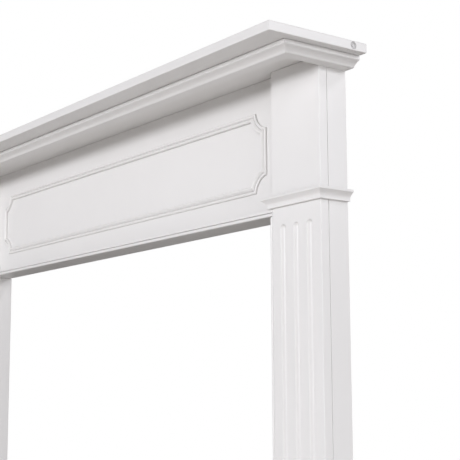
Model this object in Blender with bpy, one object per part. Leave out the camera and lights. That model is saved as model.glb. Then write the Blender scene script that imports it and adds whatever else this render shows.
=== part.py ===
# Fireplace mantel of painted board: a shelf on a mitred crown, a recessed frieze
# with a moulded panel, and two fluted pilasters with neck mouldings and plinths.
# Metres, +Z up. The front faces -Y. The origin is on the floor, midway along the
# mantel and midway through the depth of its shelf.

import math

import bmesh
import bpy

# Fireplace opening, between the linings and up to the soffit board
OPENING_WIDTH = 1.220
OPENING_HEIGHT = 1.067

# Boards
BOARD_THICKNESS = 0.019  # pilaster fronts and sides
LINING_THICKNESS = 0.007  # linings beside the opening and the soffit over it
FRIEZE_THICKNESS = 0.018
SHELF_THICKNESS = 0.018
EDGE_EASE = 0.0008  # softened edges of the boards

# Header and pilasters
HEADER_HEIGHT = 0.2815  # from the top of the opening to the shelf
PILASTER_WIDTH = 0.140
PILASTER_DEPTH = 0.066
FRIEZE_RECESS = 0.024  # frieze behind the face of the pilasters

# Flutes in the leg of each pilaster
FLUTE_COUNT = 3
FLUTE_PITCH = 0.0377
FLUTE_WIDTH = 0.0155
FLUTE_DEPTH = 0.005
FLUTE_MARGIN = 0.033  # plain board left above and below the flutes

# Shelf
SHELF_DEPTH = 0.230
SHELF_LIP_FRONT = 0.050  # shelf beyond the crown, in front
SHELF_LIP_SIDE = 0.019  # shelf beyond the crown, at each end

# Screw plug let into each end of the shelf
PLUG_DIAMETER = 0.013
PLUG_RING = 0.0006  # open ring round the plug
PLUG_LENGTH = 0.006
PLUG_RECESS = 0.0006  # plug below the end of the shelf
PLUG_SETBACK = 0.033  # plug's centre from the back of the shelf

# Crown moulding under the shelf
CROWN_PROJECTION = 0.040
CROWN_HEIGHT = 0.0194
CROWN_FILLET = 0.0071  # upright edge at the top
CROWN_TOP_ROUND = 0.0018  # rounding of its upper arris
CROWN_FLAT = 0.0210  # level underside
CROWN_NOSE_WIDTH = 0.0033  # rounding from the underside into the curve
CROWN_NOSE_RISE = 0.0015
CROWN_BEND_OUT = 0.0029  # the curve's bend beyond its foot
CROWN_BEND_UP = 0.0053
CROWN_STEP = 0.0010  # small step above the curve

# Neck moulding at the foot of each block
NECK_RISE = 0.0135  # neck above the top of the opening
NECK_HEIGHT = 0.0206
NECK_PROJECTION = 0.0163
NECK_LIP = 0.0052  # round-edged lip at the top
NECK_LIP_ROUND = 0.0014
NECK_FOOT = 0.0030  # upright fillet at the bottom
NECK_FOOT_PROJECTION = 0.0064
NECK_BEND_OUT = 0.0003  # the cove's bend beyond its foot
NECK_BEND_UP = 0.0070

# Moulding planted on the frieze, round a panel with hollowed corners
PANEL_MARGIN_SIDE = 0.0435
PANEL_MARGIN_BOTTOM = 0.050
PANEL_MARGIN_TOP = 0.063
PANEL_MOULD_WIDTH = 0.016
PANEL_OUTER_SIDE = 0.0035  # height of its straight outer side
PANEL_OUTER_BEAD = 0.0029  # top of the outer bead, from the outer edge
PANEL_OUTER_RISE = 0.0053  # and off the frieze
PANEL_QUIRK = 0.0071  # bottom of the quirk between the two beads
PANEL_QUIRK_RISE = 0.0021
PANEL_INNER_BEAD = 0.0118  # top of the inner bead
PANEL_INNER_RISE = 0.0085
PANEL_INNER_SIDE = 0.0030  # height of its straight inner side
PANEL_CORNER_RADIUS = 0.0385  # hollow side of a corner piece
PANEL_CORNER_SET = 0.005  # its centre outside the moulding's outer edges

# Plinth at the foot of each leg
PLINTH_HEIGHT = 0.150
PLINTH_THICKNESS = 0.019
PLINTH_CHAMFER = 0.006

# Clearances
JOINT_GAP = 0.0003  # between pieces that touch
OPEN_JOINT = 0.0005  # beside a pilaster's side board and over the soffit
MITRE_GAP = 0.0002  # each end of a mitre falls short by this along its run

# Facets of the curves
FLUTE_SIDES = 28
FLUTE_END_RINGS = 5
CROWN_CURVE_STEPS = 7
CROWN_NOSE_STEPS = 3
COVE_STEPS = 7
LIP_STEPS = 3
BEAD_STEPS = 3  # on each side of a bead
CORNER_STEPS = 10
PLUG_SIDES = 28

# Places worked out from the sizes above
INNER_X = OPENING_WIDTH / 2 + LINING_THICKNESS
OUTER_X = INNER_X + PILASTER_WIDTH
LEG_X = (INNER_X + OUTER_X) / 2
SHELF_HALF_LENGTH = OUTER_X + CROWN_PROJECTION + SHELF_LIP_SIDE
BACK_Y = SHELF_DEPTH / 2
FACE_Y = BACK_Y - PILASTER_DEPTH
FRIEZE_Y = FACE_Y + FRIEZE_RECESS
CROWN_Y = -SHELF_DEPTH / 2 + SHELF_LIP_FRONT + CROWN_PROJECTION
SOFFIT_TOP_Z = OPENING_HEIGHT + LINING_THICKNESS
NECK_Z = OPENING_HEIGHT + NECK_RISE
SHELF_Z = OPENING_HEIGHT + HEADER_HEIGHT
CROWN_Z = SHELF_Z - JOINT_GAP - CROWN_HEIGHT
PANEL_X = INNER_X - PANEL_MARGIN_SIDE
PANEL_LOW_Z = SOFFIT_TOP_Z + PANEL_MARGIN_BOTTOM
PANEL_HIGH_Z = SHELF_Z - PANEL_MARGIN_TOP
SIDES = (("right", 1), ("left", -1))

WHITE_PAINT = (0.80, 0.79, 0.775)
PLUG_WHITE = (0.72, 0.71, 0.70)


def clear_scene():
    for obj in list(bpy.data.objects):
        bpy.data.objects.remove(obj, do_unlink=True)


def new_object(name, mesh, location, colour=WHITE_PAINT, roughness=0.4):
    material = bpy.data.materials.new(name)
    material.use_nodes = True
    shader = material.node_tree.nodes["Principled BSDF"]
    shader.inputs["Base Color"].default_value = (*colour, 1)
    shader.inputs["Roughness"].default_value = roughness
    shader.inputs["Metallic"].default_value = 0
    mesh.materials.append(material)
    obj = bpy.data.objects.new(name, mesh)
    obj.location = location
    obj.parent = bpy.data.objects["mantel"]
    bpy.context.scene.collection.objects.link(obj)
    return obj


def loft_mesh(name, sections):
    """A closed mesh through equal loops of points, with a flat face at each end."""
    bm = bmesh.new()
    loops = [[bm.verts.new(point) for point in section] for section in sections]
    count = len(loops[0])
    for first, second in zip(loops, loops[1:]):
        for i in range(count):
            j = (i + 1) % count
            bm.faces.new((first[i], first[j], second[j], second[i]))
    bm.faces.new(loops[0])
    bm.faces.new(loops[-1])
    bmesh.ops.recalc_face_normals(bm, faces=bm.faces)
    mesh = bpy.data.meshes.new(name)
    bm.to_mesh(mesh)
    bm.free()
    return mesh


def smooth_curves(obj, angle=40):
    obj.data.shade_smooth()
    obj.data.set_sharp_from_angle(angle=math.radians(angle))


def board(name, low, high):
    """A plain board between two corners, its origin at its middle."""
    middle = [(a + b) / 2 for a, b in zip(low, high)]
    half = [(b - a) / 2 for a, b in zip(low, high)]
    bm = bmesh.new()
    bmesh.ops.create_cube(bm, size=2)
    bmesh.ops.scale(bm, vec=half, verts=bm.verts)
    mesh = bpy.data.meshes.new(name)
    bm.to_mesh(mesh)
    bm.free()
    obj = new_object(name, mesh, middle)
    ease = obj.modifiers.new("Eased edges", "BEVEL")
    ease.width = EDGE_EASE
    ease.segments = 1
    return obj


def cut(obj, cutter):
    cutter.hide_render = True
    cutter.display_type = "WIRE"
    boolean = obj.modifiers.new("Cut " + cutter.name, "BOOLEAN")
    boolean.operation = "DIFFERENCE"
    boolean.solver = "EXACT"
    boolean.object = cutter


def moulding(name, profile, starts, ends, place, location):
    """A straight length. starts and ends give its run at each projection,
    and place turns a run, a projection and a height into x, y and z."""
    sections = [
        [place(end_at(out), out, up) for out, up in profile]
        for end_at in (starts, ends)
    ]
    obj = new_object(name, loft_mesh(name, sections), location)
    smooth_curves(obj)
    return obj


# Profiles, as (projection, height) from the moulding's back at its foot


def bent_curve(foot, bend, head, steps):
    """Points along a hollow curve that leaves its foot towards the bend and comes
    to its head from there."""
    points = []
    for step in range(steps + 1):
        share = step / steps
        weights = ((1 - share) ** 2, 2 * share * (1 - share), share**2)
        corners = (foot, bend, head)
        points.append(tuple(sum(w * c[i] for w, c in zip(weights, corners)) for i in (0, 1)))
    return points


def rounding(middle_out, middle_up, radius, first):
    """Points along a quarter circle that starts at an angle in degrees."""
    points = []
    for step in range(LIP_STEPS + 1):
        turn = math.radians(first + 90 * step / LIP_STEPS)
        out = middle_out + radius * math.cos(turn)
        points.append((out, middle_up + radius * math.sin(turn)))
    return points


def crown_profile():
    points = [(JOINT_GAP, 0)]
    for step in range(CROWN_NOSE_STEPS):
        share = step / CROWN_NOSE_STEPS
        out = CROWN_FLAT + share * CROWN_NOSE_WIDTH
        points.append((out, share * share * CROWN_NOSE_RISE))
    fillet_foot = CROWN_HEIGHT - CROWN_FILLET
    nose = (CROWN_FLAT + CROWN_NOSE_WIDTH, CROWN_NOSE_RISE)
    bend = (nose[0] + CROWN_BEND_OUT, nose[1] + CROWN_BEND_UP)
    head = (CROWN_PROJECTION - CROWN_STEP, fillet_foot - CROWN_STEP)
    points += bent_curve(nose, bend, head, CROWN_CURVE_STEPS)
    points += [(CROWN_PROJECTION - CROWN_STEP, fillet_foot), (CROWN_PROJECTION, fillet_foot)]
    points += rounding(
        CROWN_PROJECTION - CROWN_TOP_ROUND,
        CROWN_HEIGHT - CROWN_TOP_ROUND,
        CROWN_TOP_ROUND,
        0,
    )
    points.append((JOINT_GAP, CROWN_HEIGHT))
    return points


def neck_profile():
    lip_foot = NECK_HEIGHT - NECK_LIP
    middle = NECK_PROJECTION - NECK_LIP_ROUND
    foot = (NECK_FOOT_PROJECTION, NECK_FOOT)
    bend = (foot[0] + NECK_BEND_OUT, foot[1] + NECK_BEND_UP)
    points = [(JOINT_GAP, 0), (NECK_FOOT_PROJECTION, 0)]
    # The curve's head is the first point of the lip's lower rounding
    points += bent_curve(foot, bend, (middle, lip_foot), COVE_STEPS)[:-1]
    points += rounding(middle, lip_foot + NECK_LIP_ROUND, NECK_LIP_ROUND, -90)
    points += rounding(middle, NECK_HEIGHT - NECK_LIP_ROUND, NECK_LIP_ROUND, 0)
    points.append((JOINT_GAP, NECK_HEIGHT))
    return points


def plinth_profile():
    return [
        (JOINT_GAP, 0),
        (PLINTH_THICKNESS, 0),
        (PLINTH_THICKNESS, PLINTH_HEIGHT - PLINTH_CHAMFER),
        (PLINTH_THICKNESS - PLINTH_CHAMFER, PLINTH_HEIGHT),
        (JOINT_GAP, PLINTH_HEIGHT),
    ]


def panel_profile():
    """(distance in from the outer edge, height off the frieze)."""
    outer = (PANEL_OUTER_BEAD, PANEL_OUTER_RISE)
    quirk = (PANEL_QUIRK, PANEL_QUIRK_RISE)
    inner = (PANEL_INNER_BEAD, PANEL_INNER_RISE)
    points = [(0, JOINT_GAP)]
    points += bead_side((0, PANEL_OUTER_SIDE), outer, True)
    points += bead_side(quirk, outer, False)[::-1][1:]
    points += bead_side(quirk, inner, False)[1:]
    points += bead_side((PANEL_MOULD_WIDTH, PANEL_INNER_SIDE), inner, True)[::-1][1:]
    points.append((PANEL_MOULD_WIDTH, JOINT_GAP))
    return points


def bead_side(foot, top, upright):
    """Points up one side of a bead, which starts upright or at a slope."""
    points = []
    for step in range(BEAD_STEPS + 1):
        turn = math.pi / 2 * step / BEAD_STEPS
        share = 1 - math.cos(turn) if upright else step / BEAD_STEPS
        across = foot[0] + share * (top[0] - foot[0])
        points.append((across, foot[1] + math.sin(turn) * (top[1] - foot[1])))
    return points


# Pieces


def make_shelf():
    shelf = board(
        "shelf",
        (-SHELF_HALF_LENGTH, -SHELF_DEPTH / 2, SHELF_Z),
        (SHELF_HALF_LENGTH, BACK_Y, SHELF_Z + SHELF_THICKNESS),
    )
    bore_radius = PLUG_DIAMETER / 2 + PLUG_RING
    bore_depth = PLUG_RECESS + PLUG_LENGTH + JOINT_GAP
    for name, side in SIDES:
        plug_y = BACK_Y - PLUG_SETBACK
        plug_z = SHELF_Z + SHELF_THICKNESS / 2
        bore = disc("plug bore " + name, bore_radius, 2 * bore_depth)
        bore.location = (side * SHELF_HALF_LENGTH, plug_y, plug_z)
        cut(shelf, bore)
        plug = disc("shelf_plug_" + name, PLUG_DIAMETER / 2, PLUG_LENGTH, PLUG_WHITE)
        outer_end = SHELF_HALF_LENGTH - PLUG_RECESS
        plug.location = (side * (outer_end - PLUG_LENGTH / 2), plug_y, plug_z)
        smooth_curves(plug)


def disc(name, radius, length, colour=WHITE_PAINT):
    """A short round piece lying along X, its origin at its middle."""
    sections = [
        [
            (x, radius * math.cos(turn), radius * math.sin(turn))
            for turn in (2 * math.pi * i / PLUG_SIDES for i in range(PLUG_SIDES))
        ]
        for x in (-length / 2, length / 2)
    ]
    return new_object(name, loft_mesh(name, sections), (0, 0, 0), colour)


def make_crown():
    profile = crown_profile()
    moulding(
        "crown_front",
        profile,
        lambda out: -OUTER_X - out + MITRE_GAP,
        lambda out: OUTER_X + out - MITRE_GAP,
        lambda run, out, up: (run, -out, up),
        (0, CROWN_Y, CROWN_Z),
    )
    for name, side in SIDES:
        moulding(
            "crown_return_" + name,
            profile,
            lambda out: -out + MITRE_GAP,
            lambda out: BACK_Y - CROWN_Y,
            lambda run, out, up, side=side: (side * out, run, up),
            (side * OUTER_X, CROWN_Y, CROWN_Z),
        )


def make_header():
    frieze_half = OUTER_X - BOARD_THICKNESS - JOINT_GAP
    board(
        "frieze_board",
        (-frieze_half, FRIEZE_Y, NECK_Z),
        (frieze_half, FRIEZE_Y + FRIEZE_THICKNESS, SHELF_Z - JOINT_GAP),
    )
    soffit_half = INNER_X - JOINT_GAP
    board(
        "header_ledge",
        (-soffit_half, FACE_Y, SOFFIT_TOP_Z + OPEN_JOINT),
        (soffit_half, BACK_Y, NECK_Z - JOINT_GAP),
    )
    board(
        "soffit_board",
        (-soffit_half, FACE_Y, OPENING_HEIGHT),
        (soffit_half, BACK_Y, SOFFIT_TOP_Z),
    )


def corner_mitre():
    """The two ends of the mitre line where a corner piece meets a rail, from the
    corner's centre: along the rail, then away from the rail's outer edge."""
    inner_radius = PANEL_CORNER_RADIUS
    outer_radius = inner_radius + PANEL_MOULD_WIDTH
    near = PANEL_CORNER_SET
    far = near + PANEL_MOULD_WIDTH
    return (
        (math.sqrt(inner_radius**2 - near**2), near),
        (math.sqrt(outer_radius**2 - far**2), far),
    )


def corner_turn(radius):
    """Angle at which a circle round the corner's centre crosses the mitre line."""
    (x1, z1), (x2, z2) = corner_mitre()
    dx, dz = x2 - x1, z2 - z1
    a = dx * dx + dz * dz
    b = 2 * (x1 * dx + z1 * dz)
    c = x1 * x1 + z1 * z1 - radius**2
    t = (-b + math.sqrt(b * b - 4 * a * c)) / (2 * a)
    return math.atan2(z1 + t * dz, x1 + t * dx)


def rail_end(inward):
    """Distance from the corner's centre to a rail's mitred end, at a distance in
    from the rail's outer edge."""
    (x1, _), (x2, _) = corner_mitre()
    share = inward / PANEL_MOULD_WIDTH
    return x1 + share * (x2 - x1) + 2 * MITRE_GAP


def make_panel_moulding():
    profile = panel_profile()
    centre_x = PANEL_X + PANEL_CORNER_SET
    centre_low = PANEL_LOW_Z - PANEL_CORNER_SET
    centre_high = PANEL_HIGH_Z + PANEL_CORNER_SET
    half_height = (centre_high - centre_low) / 2
    middle_z = (centre_high + centre_low) / 2
    levels = (("bottom", PANEL_LOW_Z, 1), ("top", PANEL_HIGH_Z, -1))
    for name, z, inward in levels:
        moulding(
            "panel_rail_" + name,
            profile,
            lambda out: -centre_x + rail_end(out),
            lambda out: centre_x - rail_end(out),
            lambda run, out, up, inward=inward: (run, -up, inward * out),
            (0, FRIEZE_Y, z),
        )
    for name, side in SIDES:
        moulding(
            "panel_stile_" + name,
            profile,
            lambda out: -half_height + rail_end(out),
            lambda out: half_height - rail_end(out),
            lambda run, out, up, side=side: (-side * out, -up, run),
            (side * PANEL_X, FRIEZE_Y, middle_z),
        )
    for level, z, inward in (("bottom", centre_low, 1), ("top", centre_high, -1)):
        for name, side in SIDES:
            corner = new_object(
                f"panel_corner_{level}_{name}",
                loft_mesh("corner", corner_sections(profile, side, inward)),
                (side * centre_x, FRIEZE_Y, z),
            )
            smooth_curves(corner)


def corner_sections(profile, side, inward):
    sections = []
    for step in range(CORNER_STEPS + 1):
        section = []
        for out, up in profile:
            radius = PANEL_CORNER_RADIUS + out
            start = corner_turn(radius)
            turn = start + (math.pi / 2 - 2 * start) * step / CORNER_STEPS
            x = -side * radius * math.cos(turn)
            z = inward * radius * math.sin(turn)
            section.append((x, -up, z))
        sections.append(section)
    return sections


def flute_cutter(name, x):
    """A round bar with ball ends. Its axis stands in front of the board."""
    radius = (FLUTE_WIDTH**2 / 4 + FLUTE_DEPTH**2) / (2 * FLUTE_DEPTH)
    end_inset = FLUTE_MARGIN + FLUTE_WIDTH / 2
    low = PLINTH_HEIGHT + end_inset
    high = NECK_Z - end_inset
    tilts = [math.radians(80) * i / FLUTE_END_RINGS for i in range(FLUTE_END_RINGS + 1)]
    rings = [(low - radius * math.sin(t), radius * math.cos(t)) for t in tilts[::-1]]
    rings += [(high + radius * math.sin(t), radius * math.cos(t)) for t in tilts]
    turns = [2 * math.pi * i / FLUTE_SIDES for i in range(FLUTE_SIDES)]
    sections = [
        [(ring * math.cos(turn), ring * math.sin(turn), z) for turn in turns]
        for z, ring in rings
    ]
    axis_y = FACE_Y + FLUTE_DEPTH - radius
    return new_object(name, loft_mesh(name, sections), (x, axis_y, 0))


def make_pilaster(name, side):
    def across(a, b, y1, y2, z1, z2):
        x1, x2 = sorted((side * a, side * b))
        return (x1, y1, z1), (x2, y2, z2)

    joint_y = FACE_Y + BOARD_THICKNESS
    top_z = SHELF_Z - JOINT_GAP
    front = board(
        "pilaster_front_" + name,
        *across(INNER_X, OUTER_X, FACE_Y, joint_y, 0, top_z),
    )
    for i in range(FLUTE_COUNT):
        offset = (i - (FLUTE_COUNT - 1) / 2) * FLUTE_PITCH
        cut(front, flute_cutter(f"flute {name} {i + 1}", side * LEG_X + offset))
    smooth_curves(front)
    board(
        "pilaster_side_" + name,
        *across(OUTER_X - BOARD_THICKNESS, OUTER_X, joint_y + OPEN_JOINT, BACK_Y, 0, top_z),
    )
    board(
        "opening_lining_" + name,
        *across(
            OPENING_WIDTH / 2,
            INNER_X - JOINT_GAP,
            FACE_Y,
            BACK_Y,
            0,
            OPENING_HEIGHT - JOINT_GAP,
        ),
    )


def make_neck(name, side):
    profile = neck_profile()
    half = PILASTER_WIDTH / 2
    moulding(
        "neck_front_" + name,
        profile,
        lambda out: -half - out + MITRE_GAP,
        lambda out: half + out - MITRE_GAP,
        lambda run, out, up: (run, -out, up),
        (side * LEG_X, FACE_Y, NECK_Z),
    )
    moulding(
        "neck_outer_" + name,
        profile,
        lambda out: -out + MITRE_GAP,
        lambda out: PILASTER_DEPTH,
        lambda run, out, up: (side * out, run, up),
        (side * OUTER_X, FACE_Y, NECK_Z),
    )
    moulding(
        "neck_inner_" + name,
        profile,
        lambda out: -out + MITRE_GAP,
        lambda out: FRIEZE_RECESS - JOINT_GAP,
        lambda run, out, up: (-side * out, run, up),
        (side * INNER_X, FACE_Y, NECK_Z),
    )


def make_plinth(name, side):
    profile = plinth_profile()
    moulding(
        "plinth_front_" + name,
        profile,
        lambda out: -PILASTER_WIDTH,
        lambda out: out - MITRE_GAP,
        lambda run, out, up: (side * run, -out, up),
        (side * OUTER_X, FACE_Y, 0),
    )
    moulding(
        "plinth_return_" + name,
        profile,
        lambda out: -out + MITRE_GAP,
        lambda out: PILASTER_DEPTH,
        lambda run, out, up: (side * out, run, up),
        (side * OUTER_X, FACE_Y, 0),
    )


def main():
    clear_scene()
    mantel = bpy.data.objects.new("mantel", None)
    bpy.context.scene.collection.objects.link(mantel)
    make_shelf()
    make_crown()
    make_header()
    make_panel_moulding()
    for name, side in SIDES:
        make_pilaster(name, side)
        make_neck(name, side)
        make_plinth(name, side)


main()
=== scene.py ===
import math

import bpy
from mathutils import Matrix, Vector


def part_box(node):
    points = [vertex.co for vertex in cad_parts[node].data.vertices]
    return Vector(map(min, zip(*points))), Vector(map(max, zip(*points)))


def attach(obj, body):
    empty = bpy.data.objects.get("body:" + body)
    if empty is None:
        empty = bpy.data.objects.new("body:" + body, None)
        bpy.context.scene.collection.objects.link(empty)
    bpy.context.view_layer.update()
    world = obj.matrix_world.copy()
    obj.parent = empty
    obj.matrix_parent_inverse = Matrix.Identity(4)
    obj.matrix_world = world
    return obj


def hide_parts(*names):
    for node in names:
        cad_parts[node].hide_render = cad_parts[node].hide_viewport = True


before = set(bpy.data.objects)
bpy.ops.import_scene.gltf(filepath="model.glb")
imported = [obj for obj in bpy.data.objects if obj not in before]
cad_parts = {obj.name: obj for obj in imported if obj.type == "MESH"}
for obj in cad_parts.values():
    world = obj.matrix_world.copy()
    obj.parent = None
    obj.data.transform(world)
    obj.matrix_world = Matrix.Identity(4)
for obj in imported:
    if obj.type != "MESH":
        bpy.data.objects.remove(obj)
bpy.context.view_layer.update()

# Fireplace mantel in white satin paint. Metres, +Z up, the front faces -Y.

axisX = Vector((1, 0, 0))
axisY = Vector((0, 1, 0))
axisZ = Vector((0, 0, 1))
sides = (("right", 1), ("left", -1))


# Selection and finishing helpers

finishLook = {
    "mergeDistance": 0.000001,
    "cutTolerance": 0.0000001,
    "planeTolerance": 0.00001,
    "sharpAngle": 35,
    "smoothAngle": 40,
    "flatWeight": 50,
    "mitreSpare": 0.004,
}


def soloSelect(piece):
    bpy.ops.object.select_all(action="DESELECT")
    piece.select_set(True)
    bpy.context.view_layer.objects.active = piece


def applyModifier(piece, modifier):
    soloSelect(piece)
    bpy.ops.object.modifier_apply(modifier=modifier.name)


def editAll(piece):
    soloSelect(piece)
    bpy.ops.object.mode_set(mode="EDIT")
    bpy.ops.mesh.select_all(action="SELECT")


def leaveEdit():
    bpy.ops.object.mode_set(mode="OBJECT")


# Leaves the piece in edit mode with just the faces selected whose centres pass the test
def pickFaces(piece, chosen):
    editAll(piece)
    bpy.ops.mesh.select_mode(type="FACE")
    bpy.ops.mesh.select_all(action="DESELECT")
    leaveEdit()
    for face in piece.data.polygons:
        face.select = chosen(face.center)
    bpy.ops.object.mode_set(mode="EDIT")


def turnOutwards(piece):
    editAll(piece)
    bpy.ops.mesh.remove_doubles(threshold=finishLook["mergeDistance"])
    bpy.ops.mesh.normals_make_consistent(inside=False)
    leaveEdit()


def roundEdges(piece, radius, segments=4):
    bevel = piece.modifiers.new("Rounded edges", "BEVEL")
    bevel.width = radius
    bevel.segments = segments
    bevel.limit_method = "ANGLE"
    bevel.angle_limit = math.radians(finishLook["sharpAngle"])
    applyModifier(piece, bevel)


def cutAway(piece, cutter):
    hole = piece.modifiers.new("Cut", "BOOLEAN")
    hole.operation = "DIFFERENCE"
    hole.solver = "EXACT"
    hole.object = cutter
    applyModifier(piece, hole)
    bpy.data.objects.remove(cutter, do_unlink=True)


# Cuts the piece off flat at a plane, and keeps the side where the point keep lies
def trim(piece, point, normal, keep):
    if (keep - point).dot(normal) > 0:
        normal = -normal
    editAll(piece)
    bpy.ops.mesh.bisect(
        plane_co=point, plane_no=normal, use_fill=True, clear_outer=True,
        threshold=finishLook["cutTolerance"],
    )
    leaveEdit()


# Rounds the sharp edges whose two ends pass the test
def roundArris(piece, radius, segments, chosen):
    editAll(piece)
    bpy.ops.mesh.select_mode(type="EDGE")
    bpy.ops.mesh.select_all(action="DESELECT")
    bpy.ops.mesh.edges_select_sharp(sharpness=math.radians(finishLook["sharpAngle"]))
    leaveEdit()
    for edge in piece.data.edges:
        ends = [piece.data.vertices[i].co for i in edge.vertices]
        edge.select = edge.select and all(chosen(end) for end in ends)
    bpy.ops.object.mode_set(mode="EDIT")
    bpy.ops.mesh.bevel(offset=radius, segments=segments, affect="EDGES")
    bpy.ops.mesh.select_mode(type="VERT")
    leaveEdit()


# Smooth shading with flat faces kept flat, then the paint and the place in the frame
def finishPiece(piece, node, material):
    piece.name = node + "_painted"
    piece.data.name = piece.name
    soloSelect(piece)
    bpy.ops.object.transform_apply(location=True, rotation=True, scale=True)
    turnOutwards(piece)
    soloSelect(piece)
    bpy.ops.object.shade_smooth_by_angle(angle=math.radians(finishLook["smoothAngle"]))
    weighted = piece.modifiers.new("Flat faces", "WEIGHTED_NORMAL")
    weighted.keep_sharp = True
    weighted.weight = finishLook["flatWeight"]
    applyModifier(piece, weighted)
    piece.data.materials.clear()
    piece.data.materials.append(material)
    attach(piece, "root")
    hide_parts(node)


# Primitives shaped into boards and mouldings

# A board's plain box, as the CAD piece has it
def plainBoard(node):
    low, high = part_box(node)
    bpy.ops.object.select_all(action="DESELECT")
    bpy.ops.mesh.primitive_cube_add(size=1, location=(low + high) / 2, scale=high - low)
    bpy.ops.object.transform_apply(location=True, rotation=True, scale=True)
    return bpy.context.object


# One vertex, extruded from point to point, then filled
def drawOutline(points):
    bpy.ops.object.select_all(action="DESELECT")
    bpy.ops.mesh.primitive_plane_add(size=0.001, location=points[0])
    piece = bpy.context.object
    bpy.ops.object.mode_set(mode="EDIT")
    bpy.ops.mesh.select_all(action="SELECT")
    bpy.ops.mesh.merge(type="CENTER")
    for here, there in zip(points, points[1:]):
        bpy.ops.mesh.extrude_region_move(TRANSFORM_OT_translate={"value": there - here})
    bpy.ops.mesh.select_all(action="SELECT")
    bpy.ops.mesh.edge_face_add()
    return piece


# Points along a hollow curve that leaves its foot towards the bend and comes to its
# head from there. A larger pull draws it closer round the bend.
def bentCurve(foot, bend, head, pull, steps):
    points = []
    for i in range(steps + 1):
        share = i / steps
        weights = ((1 - share) ** 2, 2 * pull * share * (1 - share), share**2)
        corners = (foot, bend, head)
        total = sum(weights)
        points.append(
            tuple(sum(w * c[k] for w, c in zip(weights, corners)) / total for k in (0, 1))
        )
    return points


# Points along a quarter circle that starts at an angle in degrees
def rounding(middleOut, middleUp, radius, first, steps):
    points = []
    for i in range(steps + 1):
        turn = math.radians(first + 90 * i / steps)
        points.append((middleOut + radius * math.cos(turn), middleUp + radius * math.sin(turn)))
    return points


# A straight moulding. Its ends lie at start and end where the outline leaves its back.
# A slope mitres an end: the end shifts by that much for each unit of projection.
def runMoulding(
    outline, origin, outAxis, upAxis, runAxis, start, end, startSlope, endSlope, radius
):
    reach = max(out for out, up in outline)
    spare = finishLook["mitreSpare"]
    low = start if startSlope is None else start + min(0, startSlope * reach) - spare
    high = end if endSlope is None else end + max(0, endSlope * reach) + spare
    points = [origin + outAxis * out + upAxis * up + runAxis * low for out, up in outline]
    piece = drawOutline(points)
    bpy.ops.mesh.extrude_region_move(TRANSFORM_OT_translate={"value": runAxis * (high - low)})
    leaveEdit()
    soloSelect(piece)
    bpy.ops.object.transform_apply(location=True, rotation=True, scale=True)
    turnOutwards(piece)
    roundEdges(piece, radius, 3)
    middle = origin + runAxis * (start + end) / 2
    if startSlope is not None:
        trim(piece, origin + runAxis * start, runAxis - outAxis * startSlope, middle)
    if endSlope is not None:
        trim(piece, origin + runAxis * end, runAxis - outAxis * endSlope, middle)
    return piece


# Paint

def link(tree, source, target):
    tree.links.new(source, target)


filmLook = {
    "cloudDetail": 4,
    "cloudRoughness": 0.55,
    "cloudRange": (0.35, 0.65),
    "glossRange": (0.3, 0.7),
    "fibreScale": 900,
    "fibreDetail": 3,
    "peelDetail": 2,
    "bumpStrength": 0.6,
    "refraction": 1.48,
}


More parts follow.
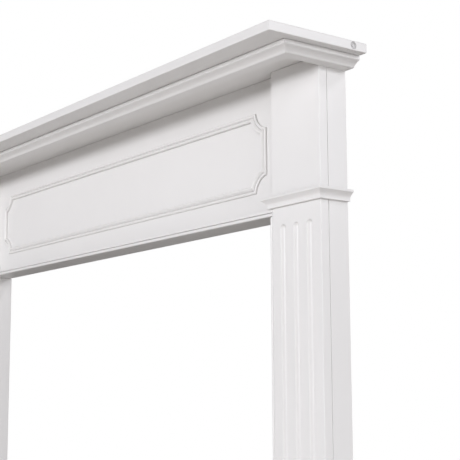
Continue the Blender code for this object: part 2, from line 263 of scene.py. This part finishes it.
# Sprayed satin paint: faint clouds of tone and gloss, a fine orange peel, and board
# fibres that run along a moulding
def buildPaintFilm():
    group = bpy.data.node_groups.new("paintFilm", "ShaderNodeTree")
    sockets = (
        ("Vector", "NodeSocketVector"),
        ("Paint", "NodeSocketColor"),
        ("Shade", "NodeSocketColor"),
        ("Cloud Scale", "NodeSocketFloat"),
        ("Peel Scale", "NodeSocketFloat"),
        ("Peel Depth", "NodeSocketFloat"),
        ("Fibre Share", "NodeSocketFloat"),
        ("Gloss Low", "NodeSocketFloat"),
        ("Gloss High", "NodeSocketFloat"),
    )
    for name, kind in sockets:
        group.interface.new_socket(name=name, in_out="INPUT", socket_type=kind)
    group.interface.new_socket(name="Color", in_out="OUTPUT", socket_type="NodeSocketColor")
    group.interface.new_socket(name="Roughness", in_out="OUTPUT", socket_type="NodeSocketFloat")
    group.interface.new_socket(name="Normal", in_out="OUTPUT", socket_type="NodeSocketVector")
    nodes = group.nodes
    given = nodes.new("NodeGroupInput")
    result = nodes.new("NodeGroupOutput")

    clouds = nodes.new("ShaderNodeTexNoise")
    clouds.inputs["Detail"].default_value = filmLook["cloudDetail"]
    clouds.inputs["Roughness"].default_value = filmLook["cloudRoughness"]
    link(group, given.outputs["Vector"], clouds.inputs["Vector"])
    link(group, given.outputs["Cloud Scale"], clouds.inputs["Scale"])
    cloudRange = nodes.new("ShaderNodeMapRange")
    cloudRange.inputs["From Min"].default_value = filmLook["cloudRange"][0]
    cloudRange.inputs["From Max"].default_value = filmLook["cloudRange"][1]
    link(group, clouds.outputs["Fac"], cloudRange.inputs["Value"])

    fibres = nodes.new("ShaderNodeTexNoise")
    fibres.inputs["Scale"].default_value = filmLook["fibreScale"]
    fibres.inputs["Detail"].default_value = filmLook["fibreDetail"]
    link(group, given.outputs["Vector"], fibres.inputs["Vector"])
    fibreTone = nodes.new("ShaderNodeMath")
    fibreTone.operation = "MULTIPLY"
    link(group, fibres.outputs["Fac"], fibreTone.inputs[0])
    link(group, given.outputs["Fibre Share"], fibreTone.inputs[1])
    tone = nodes.new("ShaderNodeMath")
    tone.operation = "ADD"
    tone.use_clamp = True
    link(group, cloudRange.outputs["Result"], tone.inputs[0])
    link(group, fibreTone.outputs["Value"], tone.inputs[1])

    colour = nodes.new("ShaderNodeMix")
    colour.data_type = "RGBA"
    link(group, tone.outputs["Value"], colour.inputs["Factor"])
    link(group, given.outputs["Paint"], colour.inputs["A"])
    link(group, given.outputs["Shade"], colour.inputs["B"])
    link(group, colour.outputs["Result"], result.inputs["Color"])

    gloss = nodes.new("ShaderNodeMapRange")
    link(group, clouds.outputs["Fac"], gloss.inputs["Value"])
    gloss.inputs["From Min"].default_value = filmLook["glossRange"][0]
    gloss.inputs["From Max"].default_value = filmLook["glossRange"][1]
    link(group, given.outputs["Gloss Low"], gloss.inputs["To Min"])
    link(group, given.outputs["Gloss High"], gloss.inputs["To Max"])
    link(group, gloss.outputs["Result"], result.inputs["Roughness"])

    peel = nodes.new("ShaderNodeTexNoise")
    peel.inputs["Detail"].default_value = filmLook["peelDetail"]
    link(group, given.outputs["Vector"], peel.inputs["Vector"])
    link(group, given.outputs["Peel Scale"], peel.inputs["Scale"])
    surface = nodes.new("ShaderNodeMath")
    surface.operation = "ADD"
    link(group, peel.outputs["Fac"], surface.inputs[0])
    link(group, fibreTone.outputs["Value"], surface.inputs[1])
    bump = nodes.new("ShaderNodeBump")
    bump.inputs["Strength"].default_value = filmLook["bumpStrength"]
    link(group, surface.outputs["Value"], bump.inputs["Height"])
    link(group, given.outputs["Peel Depth"], bump.inputs["Distance"])
    link(group, bump.outputs["Normal"], result.inputs["Normal"])
    return group


paintLook = {
    "board": {
        "paint": (0.757, 0.745, 0.728),
        "shade": (0.742, 0.729, 0.711),
        "cloudScale": 3.0,
        "peelScale": 420.0,
        "peelDepth": 0.00006,
        "fibreShare": 0.0,
        "gloss": (0.36, 0.44),
    },
    "moulding": {
        "paint": (0.757, 0.745, 0.728),
        "shade": (0.736, 0.723, 0.704),
        "cloudScale": 5.0,
        "peelScale": 480.0,
        "peelDepth": 0.00006,
        "fibreShare": 0.25,
        "gloss": (0.38, 0.48),
    },
    "plug": {
        "paint": (0.63, 0.62, 0.61),
        "shade": (0.51, 0.50, 0.49),
        "cloudScale": 60.0,
        "peelScale": 1500.0,
        "peelDepth": 0.00003,
        "fibreShare": 0.0,
        "gloss": (0.42, 0.5),
    },
}

# The fibres of a moulding are drawn out along its run
paintRuns = {
    "board": ("board", (1, 1, 1)),
    "moulding along X": ("moulding", (0.06, 1, 1)),
    "moulding along Y": ("moulding", (1, 0.06, 1)),
    "moulding along Z": ("moulding", (1, 1, 0.06)),
    "plug": ("plug", (1, 1, 1)),
}


def makePaint(name, film):
    kind, stretching = paintRuns[name]
    look = paintLook[kind]
    material = bpy.data.materials.new("Painted " + name)
    material.use_nodes = True
    tree = material.node_tree
    shader = tree.nodes["Principled BSDF"]
    shader.inputs["IOR"].default_value = filmLook["refraction"]
    place = tree.nodes.new("ShaderNodeTexCoord")
    stretch = tree.nodes.new("ShaderNodeMapping")
    stretch.inputs["Scale"].default_value = stretching
    link(tree, place.outputs["Object"], stretch.inputs["Vector"])
    coat = tree.nodes.new("ShaderNodeGroup")
    coat.node_tree = film
    coat.inputs["Paint"].default_value = (*look["paint"], 1)
    coat.inputs["Shade"].default_value = (*look["shade"], 1)
    coat.inputs["Cloud Scale"].default_value = look["cloudScale"]
    coat.inputs["Peel Scale"].default_value = look["peelScale"]
    coat.inputs["Peel Depth"].default_value = look["peelDepth"]
    coat.inputs["Fibre Share"].default_value = look["fibreShare"]
    coat.inputs["Gloss Low"].default_value = look["gloss"][0]
    coat.inputs["Gloss High"].default_value = look["gloss"][1]
    link(tree, stretch.outputs["Vector"], coat.inputs["Vector"])
    link(tree, coat.outputs["Color"], shader.inputs["Base Color"])
    link(tree, coat.outputs["Roughness"], shader.inputs["Roughness"])
    link(tree, coat.outputs["Normal"], shader.inputs["Normal"])
    return material


film = buildPaintFilm()
paints = {name: makePaint(name, film) for name in paintRuns}
print("paint ready:", ", ".join(paints))


# Shelf, with a plugged screw hole in each end

shelfLook = {
    "edgeRadius": 0.0015,
    "boreRadius": 0.0071,
    "boreDepth": 0.0069,
    "plugEase": 0.00025,
    "plugRingOuter": 0.0052,
    "plugRingInner": 0.0030,
    "plugRingDepth": 0.0013,
    "roundSides": 64,
}


def makeShelf():
    shelf = plainBoard("shelf")
    roundEdges(shelf, shelfLook["edgeRadius"])
    shelfLow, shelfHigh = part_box("shelf")
    for name, side in sides:
        plugLow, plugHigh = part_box("shelf_plug_" + name)
        middle = (plugLow + plugHigh) / 2
        endX = shelfHigh.x if side > 0 else shelfLow.x
        bpy.ops.object.select_all(action="DESELECT")
        bpy.ops.mesh.primitive_cylinder_add(
            vertices=shelfLook["roundSides"],
            radius=shelfLook["boreRadius"],
            depth=2 * shelfLook["boreDepth"],
            location=(endX, middle.y, middle.z),
            rotation=(0, math.pi / 2, 0),
        )
        cutAway(shelf, bpy.context.object)
    finishPiece(shelf, "shelf", paints["board"])
    for name, side in sides:
        makePlug("shelf_plug_" + name, side)


# A round plug with a sunk ring round its centre
def makePlug(node, side):
    low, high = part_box(node)
    radius = (high.z - low.z) / 2
    bpy.ops.object.select_all(action="DESELECT")
    bpy.ops.mesh.primitive_cylinder_add(
        vertices=shelfLook["roundSides"],
        radius=radius,
        depth=high.x - low.x,
        location=(low + high) / 2,
        rotation=(0, side * math.pi / 2, 0),
    )
    plug = bpy.context.object
    bpy.ops.object.transform_apply(location=True, rotation=True, scale=True)
    endX = high.x if side > 0 else low.x
    pickFaces(plug, lambda centre: abs(centre.x - endX) < finishLook["planeTolerance"])
    bpy.ops.mesh.inset(thickness=radius - shelfLook["plugRingOuter"])
    bpy.ops.mesh.extrude_region_move(
        TRANSFORM_OT_translate={"value": (-side * shelfLook["plugRingDepth"], 0, 0)}
    )
    bpy.ops.mesh.inset(thickness=shelfLook["plugRingOuter"] - shelfLook["plugRingInner"])
    bpy.ops.mesh.extrude_region_move(
        TRANSFORM_OT_translate={"value": (side * shelfLook["plugRingDepth"], 0, 0)}
    )
    bpy.ops.mesh.select_mode(type="VERT")
    leaveEdit()
    roundEdges(plug, shelfLook["plugEase"], 3)
    finishPiece(plug, node, paints["plug"])


makeShelf()
print("shelf and plugs done")


# Crown moulding under the shelf

crownLook = {
    "height": 0.0194,
    "projection": 0.040,
    "fillet": 0.0071,
    "topRound": 0.0018,
    "roundSteps": 6,
    "flat": 0.0210,
    "noseWidth": 0.0033,
    "noseRise": 0.0015,
    "noseSteps": 8,
    "bend": (0.0029, 0.0053),
    "pull": 1.0,
    "step": 0.0010,
    "curveSteps": 26,
    "edgeRadius": 0.0004,
    "backGap": 0.0003,
    "mitreGap": 0.00005,
}


def crownOutline():
    height, projection = crownLook["height"], crownLook["projection"]
    step, bend = crownLook["step"], crownLook["bend"]
    filletFoot = height - crownLook["fillet"]
    points = [(crownLook["backGap"], 0)]
    for i in range(crownLook["noseSteps"]):
        share = i / crownLook["noseSteps"]
        out = crownLook["flat"] + share * crownLook["noseWidth"]
        points.append((out, share * share * crownLook["noseRise"]))
    nose = (crownLook["flat"] + crownLook["noseWidth"], crownLook["noseRise"])
    head = (projection - step, filletFoot - step)
    turning = (nose[0] + bend[0], nose[1] + bend[1])
    points += bentCurve(nose, turning, head, crownLook["pull"], crownLook["curveSteps"])
    points += [(projection - step, filletFoot), (projection, filletFoot)]
    radius = crownLook["topRound"]
    points += rounding(projection - radius, height - radius, radius, 0, crownLook["roundSteps"])
    points.append((crownLook["backGap"], height))
    return points


def makeCrown():
    outline = crownOutline()
    gap = crownLook["mitreGap"]
    frontLow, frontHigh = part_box("crown_front")
    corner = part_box("pilaster_side_right")[1].x
    innerY = frontLow.y + crownLook["projection"]
    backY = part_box("crown_return_right")[1].y
    origin = Vector((0, innerY, frontLow.z))
    front = runMoulding(
        outline, origin, -axisY, axisZ, axisX,
        -corner + gap, corner - gap, -1, 1, crownLook["edgeRadius"],
    )
    finishPiece(front, "crown_front", paints["moulding along X"])
    for name, side in sides:
        origin = Vector((side * corner, innerY, frontLow.z))
        piece = runMoulding(
            outline, origin, axisX * side, axisZ, axisY,
            gap, backY - innerY, -1, None, crownLook["edgeRadius"],
        )
        finishPiece(
            piece, "crown_return_" + name, paints["moulding along Y"]
        )


makeCrown()
print("crown done")


# Flat boards of the header and the legs

boardLook = {
    "edgeRadius": 0.0008,
    "nodes": (
        "frieze_board",
        "header_ledge",
        "soffit_board",
        "pilaster_side_right",
        "pilaster_side_left",
        "opening_lining_right",
        "opening_lining_left",
    ),
}

# The linings have one rounder arris, in front beside the opening
liningLook = {
    "soffit_board": axisZ,
    "opening_lining_right": axisX,
    "opening_lining_left": axisX,
    "radius": 0.0028,
    "segments": 6,
}


def roundFrontArris(piece, node):
    low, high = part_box(node)
    across = liningLook[node]
    spots = [low.dot(across), high.dot(across)]
    # The opening lies towards x = 0 and below the soffit
    opening = min(spots, key=abs)
    near = finishLook["planeTolerance"]

    def chosen(end):
        return abs(end.y - low.y) < near and abs(end.dot(across) - opening) < near

    roundArris(piece, liningLook["radius"], liningLook["segments"], chosen)


for boardName in boardLook["nodes"]:
    piece = plainBoard(boardName)
    if boardName in liningLook:
        roundFrontArris(piece, boardName)
    roundEdges(piece, boardLook["edgeRadius"])
    finishPiece(piece, boardName, paints["board"])
print("flat boards done:", len(boardLook["nodes"]))


# Moulding planted on the frieze, with hollowed corners

panelLook = {
    "width": 0.0156,
    "outerSide": 0.0026,
    "outerTop": (0.0030, 0.0044),
    "outerLip": 0.0026,
    "quirk": (0.0067, 0.0010),
    "quirkHalf": 0.0004,
    "innerLip": 0.0026,
    "innerTop": (0.0130, 0.0066),
    "innerSide": 0.0034,
    "beadSteps": 12,
    "cornerRadius": 0.0385,
    "cornerSet": 0.005,
    "cornerSteps": 40,
    "edgeRadius": 0.0003,
    "backGap": 0.0003,
    "mitreGap": 0.00005,
}


# Points as (distance in from the outer edge, height off the frieze)
def panelOutline():
    width, gap = panelLook["width"], panelLook["backGap"]
    outer, inner = panelLook["outerTop"], panelLook["innerTop"]
    middle, floor = panelLook["quirk"]
    half = panelLook["quirkHalf"]
    points = [(0, gap)]
    points += beadSide((0, panelLook["outerSide"]), outer, True)
    points += beadSide((middle - half, panelLook["outerLip"]), outer, False)[::-1][1:]
    points += [(middle - half, floor), (middle + half, floor)]
    points += beadSide((middle + half, panelLook["innerLip"]), inner, False)
    points += beadSide((width, panelLook["innerSide"]), inner, True)[::-1][1:]
    points.append((width, gap))
    return points


# Points up one side of a bead, which starts upright or at a slope
def beadSide(foot, top, upright):
    points = []
    for i in range(panelLook["beadSteps"] + 1):
        turn = math.pi / 2 * i / panelLook["beadSteps"]
        share = 1 - math.cos(turn) if upright else i / panelLook["beadSteps"]
        across = foot[0] + share * (top[0] - foot[0])
        points.append((across, foot[1] + math.sin(turn) * (top[1] - foot[1])))
    return points


# Where a corner piece meets a rail, from the corner's centre: (along, away) at the
# moulding's outer edge and at its inner edge
def panelMitre():
    near = panelLook["cornerSet"]
    far = near + panelLook["width"]
    inside = panelLook["cornerRadius"]
    outside = inside + panelLook["width"]
    return (
        (math.sqrt(inside**2 - near**2), near),
        (math.sqrt(outside**2 - far**2), far),
    )


def makePanelMoulding():
    outline = panelOutline()
    outer, inner = panelMitre()
    slope = (inner[0] - outer[0]) / panelLook["width"]
    reach = outer[0] + panelLook["mitreGap"]
    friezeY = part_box("frieze_board")[0].y
    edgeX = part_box("panel_stile_right")[1].x
    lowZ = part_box("panel_rail_bottom")[0].z
    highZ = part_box("panel_rail_top")[1].z
    centreX = edgeX + panelLook["cornerSet"]
    centreLow = lowZ - panelLook["cornerSet"]
    centreHigh = highZ + panelLook["cornerSet"]
    # runMoulding takes the first value of an outline as its out: here that is inwards
    for name, z, inward in (("bottom", lowZ, 1), ("top", highZ, -1)):
        rail = runMoulding(
            outline, Vector((0, friezeY, z)), axisZ * inward, -axisY, axisX,
            -centreX + reach, centreX - reach, slope, -slope, panelLook["edgeRadius"],
        )
        node = "panel_rail_" + name
        finishPiece(rail, node, paints["moulding along X"])
    for name, side in sides:
        stile = runMoulding(
            outline, Vector((side * edgeX, friezeY, 0)), axisX * -side, -axisY, axisZ,
            centreLow + reach, centreHigh - reach, slope, -slope, panelLook["edgeRadius"],
        )
        node = "panel_stile_" + name
        finishPiece(stile, node, paints["moulding along Z"])
    for level, z, inward in (("bottom", centreLow, 1), ("top", centreHigh, -1)):
        for name, side in sides:
            makePanelCorner(f"panel_corner_{level}_{name}", outline, side, inward,
                            Vector((side * centreX, friezeY, z)))


# The outline spun a quarter turn round the corner's centre, then mitred at both ends
def makePanelCorner(node, outline, side, inward, centre):
    outer, inner = panelMitre()
    radius = panelLook["cornerRadius"]
    points = [
        centre + axisX * -side * (radius + out) - axisY * up for out, up in outline
    ]
    corner = drawOutline(points)
    bpy.ops.mesh.spin(
        steps=panelLook["cornerSteps"],
        angle=math.pi / 2,
        center=centre,
        axis=axisY * -side * inward,
    )
    leaveEdit()
    soloSelect(corner)
    bpy.ops.object.transform_apply(location=True, rotation=True, scale=True)
    turnOutwards(corner)
    roundEdges(corner, panelLook["edgeRadius"], 2)
    middle = centre + (axisX * -side + axisZ * inward) * radius * math.sqrt(0.5)
    for start, end in ((outer, inner), (outer[::-1], inner[::-1])):
        point = centre + axisX * -side * start[0] + axisZ * inward * start[1]
        along = axisX * -side * (end[0] - start[0]) + axisZ * inward * (end[1] - start[1])
        trim(corner, point, along.cross(axisY).normalized(), middle)
    finishPiece(corner, node, paints["board"])


makePanelMoulding()
print("panel moulding done")


# Pilaster fronts: a plain block above, a fluted leg below

fluteLook = {
    "count": 3,
    "pitch": 0.0377,
    "width": 0.0155,
    "depth": 0.005,
    "margin": 0.033,
    "rimEase": 0.0004,
    "rimTolerance": 0.00002,
    "rimInset": 0.01,
    "edgeRadius": 0.0012,
    "sides": 64,
    "rings": 32,
}


# A long bar with ball ends, its axis in front of the board
def fluteCutter(x, faceY, lowEnd, highEnd):
    width, depth = fluteLook["width"], fluteLook["depth"]
    radius = (width**2 / 4 + depth**2) / (2 * depth)
    low = lowEnd + fluteLook["margin"] + width / 2
    high = highEnd - fluteLook["margin"] - width / 2
    bpy.ops.object.select_all(action="DESELECT")
    bpy.ops.mesh.primitive_uv_sphere_add(
        segments=fluteLook["sides"], ring_count=fluteLook["rings"], radius=radius,
        location=(x, faceY + depth - radius, high),
    )
    bar = bpy.context.object
    bpy.ops.object.transform_apply(location=True, rotation=True, scale=True)
    pickFaces(bar, lambda centre: centre.z < high)
    bpy.ops.mesh.extrude_region_move(TRANSFORM_OT_translate={"value": (0, 0, low - high)})
    bpy.ops.mesh.select_mode(type="VERT")
    leaveEdit()
    return bar


def makePilasterFront(name, side):
    node = "pilaster_front_" + name
    low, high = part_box(node)
    board = plainBoard(node)
    roundEdges(board, fluteLook["edgeRadius"])
    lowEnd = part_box("plinth_front_" + name)[1].z
    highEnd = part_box("neck_front_" + name)[0].z
    middleX = (low.x + high.x) / 2
    for i in range(fluteLook["count"]):
        offset = (i - (fluteLook["count"] - 1) / 2) * fluteLook["pitch"]
        cutAway(board, fluteCutter(middleX + offset, low.y, lowEnd, highEnd))
    near, inset = fluteLook["rimTolerance"], fluteLook["rimInset"]

    # The rims where the flutes break through the face
    def chosen(end):
        return abs(end.y - low.y) < near and low.x + inset < end.x < high.x - inset

    roundArris(board, fluteLook["rimEase"], 3, chosen)
    finishPiece(board, node, paints["board"])


# Neck moulding at the foot of each block, and the plinths

neckLook = {
    "height": 0.0206,
    "projection": 0.0163,
    "lip": 0.0052,
    "lipRound": 0.0014,
    "lipSteps": 6,
    "foot": 0.0030,
    "footProjection": 0.0064,
    "bend": (0.0006, 0.0058),
    "pull": 2.5,
    "coveSteps": 24,
    "edgeRadius": 0.0004,
    "backGap": 0.0003,
    "mitreGap": 0.00005,
}

plinthLook = {
    "thickness": 0.019,
    "chamfer": 0.006,
    "edgeRadius": 0.0010,
    "backGap": 0.0003,
    "mitreGap": 0.00005,
}


def neckOutline():
    height, radius = neckLook["height"], neckLook["lipRound"]
    lipFoot = height - neckLook["lip"]
    middle = neckLook["projection"] - radius
    foot = (neckLook["footProjection"], neckLook["foot"])
    turning = (foot[0] + neckLook["bend"][0], foot[1] + neckLook["bend"][1])
    points = [(neckLook["backGap"], 0), (neckLook["footProjection"], 0)]
    # The cove's head is the first point of the lip's lower rounding
    head = (middle, lipFoot)
    points += bentCurve(foot, turning, head, neckLook["pull"], neckLook["coveSteps"])[:-1]
    points += rounding(middle, lipFoot + radius, radius, -90, neckLook["lipSteps"])
    points += rounding(middle, height - radius, radius, 0, neckLook["lipSteps"])
    points.append((neckLook["backGap"], height))
    return points


def plinthOutline(height):
    thickness, chamfer = plinthLook["thickness"], plinthLook["chamfer"]
    gap = plinthLook["backGap"]
    return [
        (gap, 0),
        (thickness, 0),
        (thickness, height - chamfer),
        (thickness - chamfer, height),
        (gap, height),
    ]


def makeLegMouldings(name, side):
    frontLow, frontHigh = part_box("pilaster_front_" + name)
    faceY = frontLow.y
    outerX = side * max(abs(frontLow.x), abs(frontHigh.x))
    innerX = side * min(abs(frontLow.x), abs(frontHigh.x))
    middleX = (frontLow.x + frontHigh.x) / 2
    half = (frontHigh.x - frontLow.x) / 2
    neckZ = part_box("neck_front_" + name)[0].z
    neck = neckOutline()
    gap, radius = neckLook["mitreGap"], neckLook["edgeRadius"]
    front = runMoulding(
        neck, Vector((middleX, faceY, neckZ)), -axisY, axisZ, axisX,
        -half + gap, half - gap, -1, 1, radius,
    )
    finishPiece(front, "neck_front_" + name, paints["moulding along X"])
    returns = (("neck_outer_", outerX, side), ("neck_inner_", innerX, -side))
    for prefix, x, outwards in returns:
        node = prefix + name
        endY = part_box(node)[1].y
        piece = runMoulding(
            neck, Vector((x, faceY, neckZ)), axisX * outwards, axisZ, axisY,
            gap, endY - faceY, -1, None, radius,
        )
        finishPiece(piece, node, paints["moulding along Y"])

    plinthLow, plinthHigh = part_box("plinth_front_" + name)
    plinth = plinthOutline(plinthHigh.z - plinthLow.z)
    gap, radius = plinthLook["mitreGap"], plinthLook["edgeRadius"]
    innerEnd = plinthLow.x if side > 0 else plinthHigh.x
    front = runMoulding(
        plinth, Vector((outerX, faceY, 0)), -axisY, axisZ, axisX * side,
        side * (innerEnd - outerX), -gap, None, 1, radius,
    )
    finishPiece(front, "plinth_front_" + name, paints["board"])
    node = "plinth_return_" + name
    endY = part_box(node)[1].y
    piece = runMoulding(
        plinth, Vector((outerX, faceY, 0)), axisX * side, axisZ, axisY,
        gap, endY - faceY, -1, None, radius,
    )
    finishPiece(piece, node, paints["board"])


for sideName, sideSign in sides:
    makePilasterFront(sideName, sideSign)
    makeLegMouldings(sideName, sideSign)
    print("pilaster done:", sideName)


# Camera, floor and studio light

cameraLook = {
    "place": (2.3124, -1.3207, 0.7025),
    "azimuth": 53.168,
    "rise": 8.833,
    "roll": -0.2746,
    "lens": 91.19,
    "sensor": 36,
    "clipStart": 0.05,
}

studioLook = {
    "floorHalf": 4.0,
    "floorColour": (0.83, 0.795, 0.755),
    "floorRoughness": 0.7,
    "fillColour": (1.0, 0.985, 0.965),
    "fillStrength": 0.0,
    "aim": (0.25, 0, 1.1),
    "lightDistance": 6.5,
    "lightColour": (1.0, 1.004, 1.047),
    "lights": (
        ("front key", -14, 5.8, (1.5, 1.3), 243),
        ("front high", 8, 17, (1.5, 0.8), 40),
        ("left", -38, 4, (1.5, 0.7), 10),
        ("right", 55, 15, (1.5, 2.6), 118),
        ("side", 120, 16, (1.5, 1.0), 90),
        ("side high", 120, 40, (1.5, 1.0), 80),
        ("side low", 80, -8, (1.5, 0.7), 100),
    ),
}


def placeCamera():
    data = bpy.data.cameras.new("Camera")
    camera = bpy.data.objects.new("Camera", data)
    bpy.context.scene.collection.objects.link(camera)
    turn = (
        Matrix.Rotation(math.radians(cameraLook["azimuth"]), 4, "Z")
        @ Matrix.Rotation(math.radians(90 + cameraLook["rise"]), 4, "X")
        @ Matrix.Rotation(math.radians(cameraLook["roll"]), 4, "Z")
    )
    camera.matrix_world = Matrix.Translation(cameraLook["place"]) @ turn
    data.sensor_width = cameraLook["sensor"]
    data.lens = cameraLook["lens"]
    data.clip_start = cameraLook["clipStart"]
    bpy.context.scene.camera = camera


def placeFloor():
    half = studioLook["floorHalf"]
    bpy.ops.object.select_all(action="DESELECT")
    bpy.ops.mesh.primitive_plane_add(size=2 * half, location=(0, 0, 0))
    floor = bpy.context.object
    floor.name = "studio_floor"
    material = bpy.data.materials.new("Studio floor")
    material.use_nodes = True
    shader = material.node_tree.nodes["Principled BSDF"]
    shader.inputs["Base Color"].default_value = (*studioLook["floorColour"], 1)
    shader.inputs["Roughness"].default_value = studioLook["floorRoughness"]
    floor.data.materials.append(material)


def placeLights():
    aim = Vector(studioLook["aim"])
    for name, azimuth, rise, size, power in studioLook["lights"]:
        data = bpy.data.lights.new(name, "AREA")
        data.shape = "RECTANGLE"
        data.size, data.size_y = size
        data.energy = power
        data.color = studioLook["lightColour"]
        light = bpy.data.objects.new(name, data)
        bpy.context.scene.collection.objects.link(light)
        # The azimuth is 0 straight in front and grows towards +X
        turn, lift = math.radians(azimuth), math.radians(rise)
        away = Vector((
            math.sin(turn) * math.cos(lift),
            -math.cos(turn) * math.cos(lift),
            math.sin(lift),
        ))
        light.location = aim + away * studioLook["lightDistance"]
        light.rotation_euler = (-away).to_track_quat("-Z", "Y").to_euler()
        light.visible_camera = False


# White where the camera sees past the object, and a fill on it, which is off at strength 0
def placeWorld():
    world = bpy.data.worlds.new("Studio")
    bpy.context.scene.world = world
    world.use_nodes = True
    tree = world.node_tree
    fill = tree.nodes["Background"]
    fill.inputs["Color"].default_value = (*studioLook["fillColour"], 1)
    fill.inputs["Strength"].default_value = studioLook["fillStrength"]
    behind = tree.nodes.new("ShaderNodeBackground")
    behind.inputs["Color"].default_value = (1, 1, 1, 1)
    ray = tree.nodes.new("ShaderNodeLightPath")
    choose = tree.nodes.new("ShaderNodeMixShader")
    link(tree, ray.outputs["Is Camera Ray"], choose.inputs["Fac"])
    link(tree, fill.outputs["Background"], choose.inputs[1])
    link(tree, behind.outputs["Background"], choose.inputs[2])
    link(tree, choose.outputs["Shader"], tree.nodes["World Output"].inputs["Surface"])


placeCamera()
placeFloor()
placeLights()
placeWorld()
bpy.context.scene.view_settings.view_transform = "Standard"
print("studio done")
